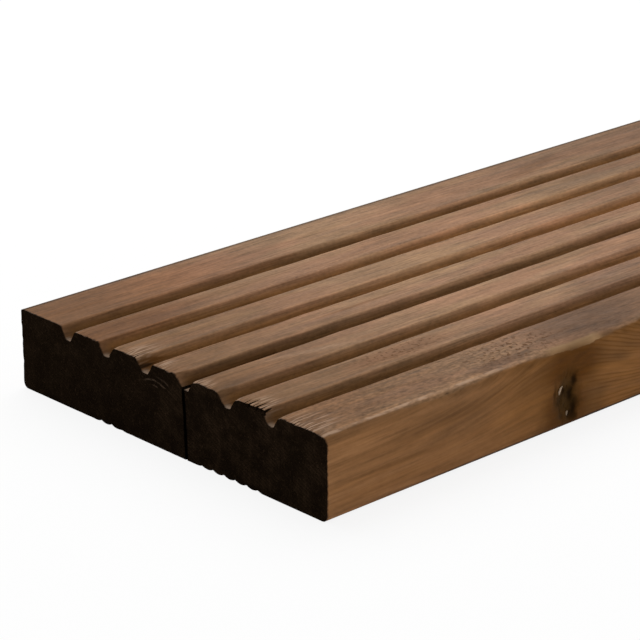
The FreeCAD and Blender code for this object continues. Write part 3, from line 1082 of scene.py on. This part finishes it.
def add_camera(stage):
    camera = newly(bpy.ops.object.camera_add, "view_of_checked_end")
    turn = Matrix((CAMERA_RIGHT, CAMERA_UP, CAMERA_RIGHT.cross(CAMERA_UP))).transposed().to_4x4()
    camera.matrix_world = Matrix.Translation(ALONG * NEAR_END + CAMERA_FROM_END) @ turn
    camera.data.lens = stage.lens
    camera.data.clip_end = CLIP_END
    bpy.context.scene.camera = camera


def mix_shaders(tree, first, second):
    made = tree.nodes.new("ShaderNodeMixShader")
    tree.links.new(first.outputs[0], made.inputs[1])
    tree.links.new(second.outputs[0], made.inputs[2])
    return made


def floor_finish(stage):
    """A white floor that the camera sees evenly lit, with the board's soft shadow kept."""
    material = bpy.data.materials.new("white_floor")
    material.use_nodes = True
    tree = material.node_tree
    tree.nodes.clear()
    path = tree.nodes.new("ShaderNodeLightPath")
    plain = tree.nodes.new("ShaderNodeBsdfDiffuse")
    plain.inputs["Color"].default_value = (*stage.floor, 1)
    glow = tree.nodes.new("ShaderNodeEmission")
    glow.inputs["Color"].default_value = (*stage.floor, 1)
    seen = mix_shaders(tree, plain, glow)
    seen.inputs[0].default_value = stage.floor_glow
    chosen = mix_shaders(tree, plain, seen)
    tree.links.new(seen_by_eye(tree, path), chosen.inputs[0])
    output = tree.nodes.new("ShaderNodeOutputMaterial")
    tree.links.new(chosen.outputs[0], output.inputs["Surface"])
    return material


def seen_by_eye(tree, path):
    """1 for what is seen directly, in a reflection or through glass."""
    total = path.outputs["Is Camera Ray"]
    for name in ("Is Glossy Ray", "Is Transmission Ray"):
        either = tree.nodes.new("ShaderNodeMath")
        either.operation = "MAXIMUM"
        tree.links.new(total, either.inputs[0])
        tree.links.new(path.outputs[name], either.inputs[1])
        total = either.outputs[0]
    return total


def add_floor(stage):
    floor = newly(bpy.ops.mesh.primitive_plane_add, "floor", size=FLOOR_SIZE)
    floor.data.materials.append(floor_finish(stage))


SOFTBOX_PLACE = Vector((0.1, 0.9, 1.5))
SOFTBOX_LENGTH, SOFTBOX_WIDTH = 3.2, 1.6


def add_softbox(stage):
    turn = (-SOFTBOX_PLACE).to_track_quat("-Z", "Y").to_euler()
    softbox = newly(bpy.ops.object.light_add, "softbox", type="AREA", location=SOFTBOX_PLACE, rotation=turn)
    softbox.data.shape = "RECTANGLE"
    softbox.data.size = SOFTBOX_LENGTH
    softbox.data.size_y = SOFTBOX_WIDTH
    softbox.data.energy = stage.softbox_power


def add_room(stage):
    """Even light from all round, and plain white where the eye looks past the floor."""
    world = bpy.data.worlds.new("white_room")
    bpy.context.scene.world = world
    world.use_nodes = True
    tree = world.node_tree
    room = tree.nodes["Background"]
    room.inputs["Color"].default_value = (1, 1, 1, 1)
    room.inputs["Strength"].default_value = stage.room_light
    white = tree.nodes.new("ShaderNodeBackground")
    white.inputs["Color"].default_value = (1, 1, 1, 1)
    chosen = mix_shaders(tree, room, white)
    path = tree.nodes.new("ShaderNodeLightPath")
    tree.links.new(path.outputs["Is Camera Ray"], chosen.inputs[0])
    tree.links.new(chosen.outputs[0], tree.nodes["World Output"].inputs["Surface"])


class DECKING_OT_add_stage(bpy.types.Operator):
    """Set up the white floor, the soft light and the camera"""

    bl_idname = "decking.add_stage"
    bl_label = "Add stage"

    def execute(self, context):
        _, _, stage = settings()
        add_floor(stage)
        add_softbox(stage)
        add_room(stage)
        add_camera(stage)
        context.scene.view_settings.view_transform = "Standard"
        return {"FINISHED"}


class DECKING_PT_panel(bpy.types.Panel):
    """Lists the board's sizes, colours and steps"""

    bl_idname = "DECKING_PT_panel"
    bl_label = "Decking board"
    bl_space_type = "VIEW_3D"
    bl_region_type = "UI"
    bl_category = "Decking"

    def draw(self, context):
        for group in settings():
            box = self.layout.box()
            for name in type(group).__annotations__:
                box.prop(group, name)
        for step in (DECKING_OT_add_board, DECKING_OT_add_stage):
            self.layout.operator(step.bl_idname)


CLASSES = (
    DeckingSizes, DeckingColours, DeckingStage, DECKING_OT_add_board, DECKING_OT_add_stage, DECKING_PT_panel
)


def register():
    for each in CLASSES:
        bpy.utils.register_class(each)
    bpy.types.Scene.decking_sizes = bpy.props.PointerProperty(type=DeckingSizes)
    bpy.types.Scene.decking_colours = bpy.props.PointerProperty(type=DeckingColours)
    bpy.types.Scene.decking_stage = bpy.props.PointerProperty(type=DeckingStage)


def unregister():
    del bpy.types.Scene.decking_stage
    del bpy.types.Scene.decking_colours
    del bpy.types.Scene.decking_sizes
    for each in reversed(CLASSES):
        bpy.utils.unregister_class(each)


def main():
    register()
    bpy.ops.decking.add_board()
    bpy.ops.decking.add_stage()


if __name__ == "__main__":
    main()
